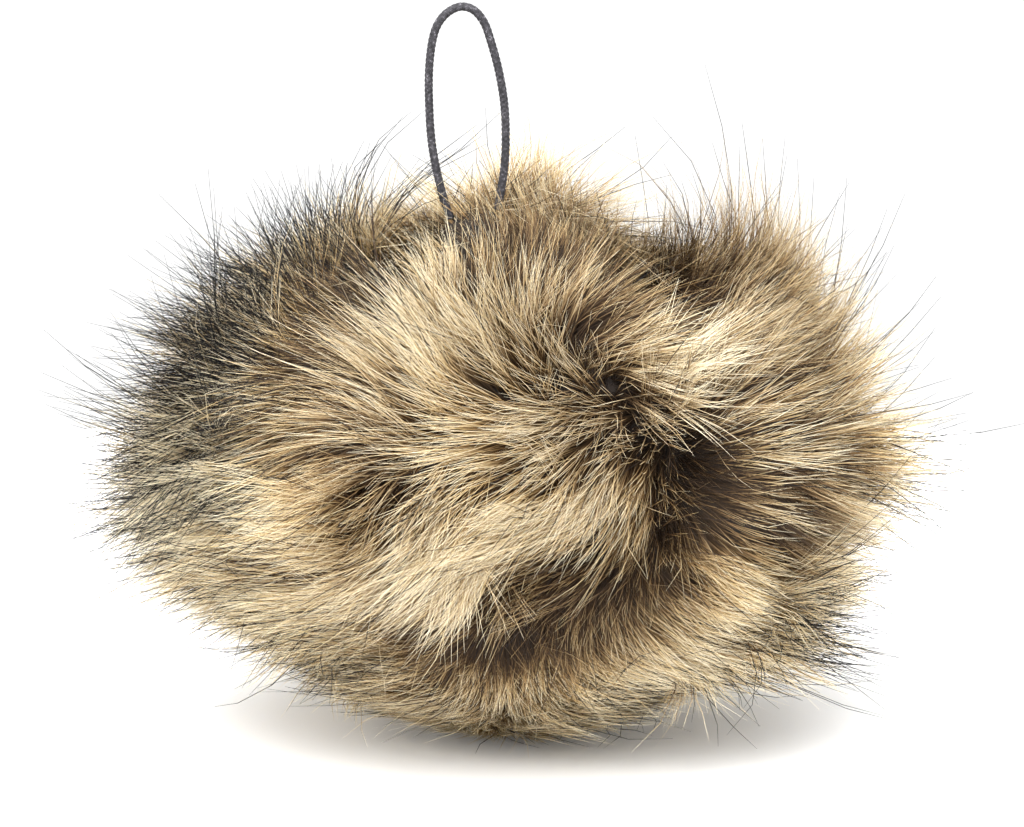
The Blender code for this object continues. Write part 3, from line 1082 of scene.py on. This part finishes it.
def braided_cord(name, route):
    """A closed tube whose surface rises and falls as the braid's yarns cross."""
    line, length = smooth_line(route, BRAID_ROW)
    tangents = unit(np.gradient(line, axis=0))
    sides = unit(np.cross(tangents, (0, 1, 0)))
    others = np.cross(tangents, sides)
    turn = np.linspace(0, 2 * math.pi, RING, endpoint=False)
    rows = np.linspace(0, length, len(line))
    bm = bmesh.new()
    rings = []
    for centre, side, other, at in zip(line, sides, others, rows):
        twist = 2 * math.pi * at / BRAID_LAY
        right = np.cos(CARRIERS / 2 * (turn + twist))
        left = np.cos(CARRIERS / 2 * (turn - twist))
        radius = LOOP_DIAMETER / 2 - BRAID_DEPTH * (1 - np.maximum(right, left))
        ring = np.outer(radius * np.cos(turn), side) + np.outer(radius * np.sin(turn), other)
        rings.append([bm.verts.new(spot) for spot in centre + ring])
    chart = bm.loops.layers.uv.new("OFBake")
    for row, (low, high) in enumerate(zip(rings, rings[1:])):
        for k in range(RING):
            after = (k + 1) % RING
            face = bm.faces.new((low[k], low[after], high[after], high[k]))
            corners = ((k, row), (k + 1, row), (k + 1, row + 1), (k, row + 1))
            for corner, (u, v) in zip(face.loops, corners):
                corner[chart].uv = (u / RING, v / len(rings))
    for ring in (rings[0], rings[-1]):
        bm.faces.new(ring)
    bmesh.ops.recalc_face_normals(bm, faces=bm.faces)
    mesh = bpy.data.meshes.new(name)
    bm.to_mesh(mesh)
    bm.free()
    mesh.shade_smooth()
    made = bpy.data.objects.new(name, mesh)
    bpy.context.collection.objects.link(made)
    return made, line, length


loop, loop_line, loop_length = braided_cord("braided_loop", LOOP_ROUTE)
print(f"elastic {loop_length / MM:.1f} mm long")

# %% [markdown]
# ## The elastic's yarns and the knitted back
#
# The elastic's yarns are charcoal, with paler flecks painted on as highlights. The
# knitted back shows only where the hair parts, in deep shade, so a dark brown with a
# faint mottle is enough for it. Both are one plain finish whose colour a fine noise
# varies, so one function makes both.

# %% Finishes with painted highlights and a mottle
PAINTED_HIGHLIGHT_SCALE = 2500
KNIT_SCALE = 900
ELASTIC_ROUGHNESS = 0.7
KNIT_ROUGHNESS = 0.9
# The palest stop of the elastic is a painted highlight.
ELASTIC_STOPS = (Stop(0.35, "1c1b1f"), Stop(0.6, "3a383d"), Stop(0.75, "77747a"))
KNIT_STOPS = (Stop(0.3, "120d0a"), Stop(0.7, "2a1f17"))


def mottled_and_painted_highlight_material(name, scale, stops, roughness):
    made = bpy.data.materials.new(name)
    made.use_nodes = True
    tree = made.node_tree
    shader = tree.nodes["Principled BSDF"]
    noise = tree.nodes.new("ShaderNodeTexNoise")
    noise.inputs["Scale"].default_value = scale
    where = tree.nodes.new("ShaderNodeTexCoord")
    tree.links.new(where.outputs["Object"], noise.inputs["Vector"])
    tree.links.new(ramp(tree, stops, noise.outputs["Fac"]), shader.inputs["Base Color"])
    shader.inputs["Roughness"].default_value = roughness
    return made


elastic_look = mottled_and_painted_highlight_material("elastic", PAINTED_HIGHLIGHT_SCALE, ELASTIC_STOPS, ELASTIC_ROUGHNESS)
knitted_look = mottled_and_painted_highlight_material("knitted_back", KNIT_SCALE, KNIT_STOPS, KNIT_ROUGHNESS)
loop.data.materials.append(elastic_look)
skin.data.materials.append(knitted_look)
print("the elastic has", len(ELASTIC_STOPS), "colours, and the knit", len(KNIT_STOPS))

# %% [markdown]
# ## Studio
#
# A white floor and white walls all round, as for a picture to be cut out on white.
# Most of the light comes softly from above, a little from the left and the front.
# Lamps could give it. A soft gradient in the world is used instead, because so much
# hair renders faster with it.

# %% Floor
FLOOR_RADIUS = 0.16
FLOOR_SIDES = 96
FLOOR_COLOUR = (0.9, 0.9, 0.9, 1)
FLOOR_ROUGHNESS = 0.9


def add_floor():
    bm = bmesh.new()
    bmesh.ops.create_circle(bm, segments=FLOOR_SIDES, radius=FLOOR_RADIUS, cap_ends=True)
    mesh = bpy.data.meshes.new("floor")
    bm.to_mesh(mesh)
    bm.free()
    floor = bpy.data.objects.new("floor", mesh)
    bpy.context.collection.objects.link(floor)
    made = bpy.data.materials.new("floor")
    made.use_nodes = True
    shader = made.node_tree.nodes["Principled BSDF"]
    shader.inputs["Base Color"].default_value = FLOOR_COLOUR
    shader.inputs["Roughness"].default_value = FLOOR_ROUGHNESS
    mesh.materials.append(made)


add_floor()
print(f"a floor {2 * FLOOR_RADIUS:.2f} m across")

# %% Light and colour
WALLS = 1.15
SOFTBOX = 6.0
SOFTBOX_SHARPNESS = 4.0
SOFTBOX_SIDE = toward(-25, 60)


def worked_out(tree, operation, value, *numbers):
    """What a math node makes of a socket's value and plain numbers."""
    node = tree.nodes.new("ShaderNodeMath")
    node.operation = operation
    tree.links.new(value, node.inputs[0])
    for socket, number in zip(node.inputs[1:], numbers):
        socket.default_value = number
    return node.outputs[0]


def add_studio_light():
    """White walls all round, and a large soft light whose edges fade into them."""
    world = bpy.data.worlds.new("studio")
    world.use_nodes = True
    tree = world.node_tree
    outward = tree.nodes.new("ShaderNodeTexCoord")
    facing = tree.nodes.new("ShaderNodeVectorMath")
    facing.operation = "DOT_PRODUCT"
    facing.inputs[1].default_value = SOFTBOX_SIDE
    tree.links.new(outward.outputs["Generated"], facing.inputs[0])
    front = worked_out(tree, "MAXIMUM", facing.outputs["Value"], 0.0)
    fading = worked_out(tree, "POWER", front, SOFTBOX_SHARPNESS)
    strength = worked_out(tree, "MULTIPLY_ADD", fading, SOFTBOX, WALLS)
    background = tree.nodes["Background"]
    background.inputs["Color"].default_value = (1, 1, 1, 1)
    tree.links.new(strength, background.inputs["Strength"])
    world.cycles.sampling_method = "NONE"
    bpy.context.scene.world = world


add_studio_light()
bpy.context.scene.view_settings.view_transform = "Standard"
print("light", WALLS, "from all sides, and up to", SOFTBOX, "more from above")

# %% [markdown]
# ## Attach the pieces
#
# Every piece rides on the one body there is and has its named material.
# The skin and the loop stand for the two plain solids of the frame. The guides have
# done their work.

# %% Attach the pieces
bpy.data.objects.remove(guides, do_unlink=True)
for piece in (skin, *layers):
    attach(piece, "root")
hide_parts("fur_ball")
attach(loop, "root")
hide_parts("elastic_loop")
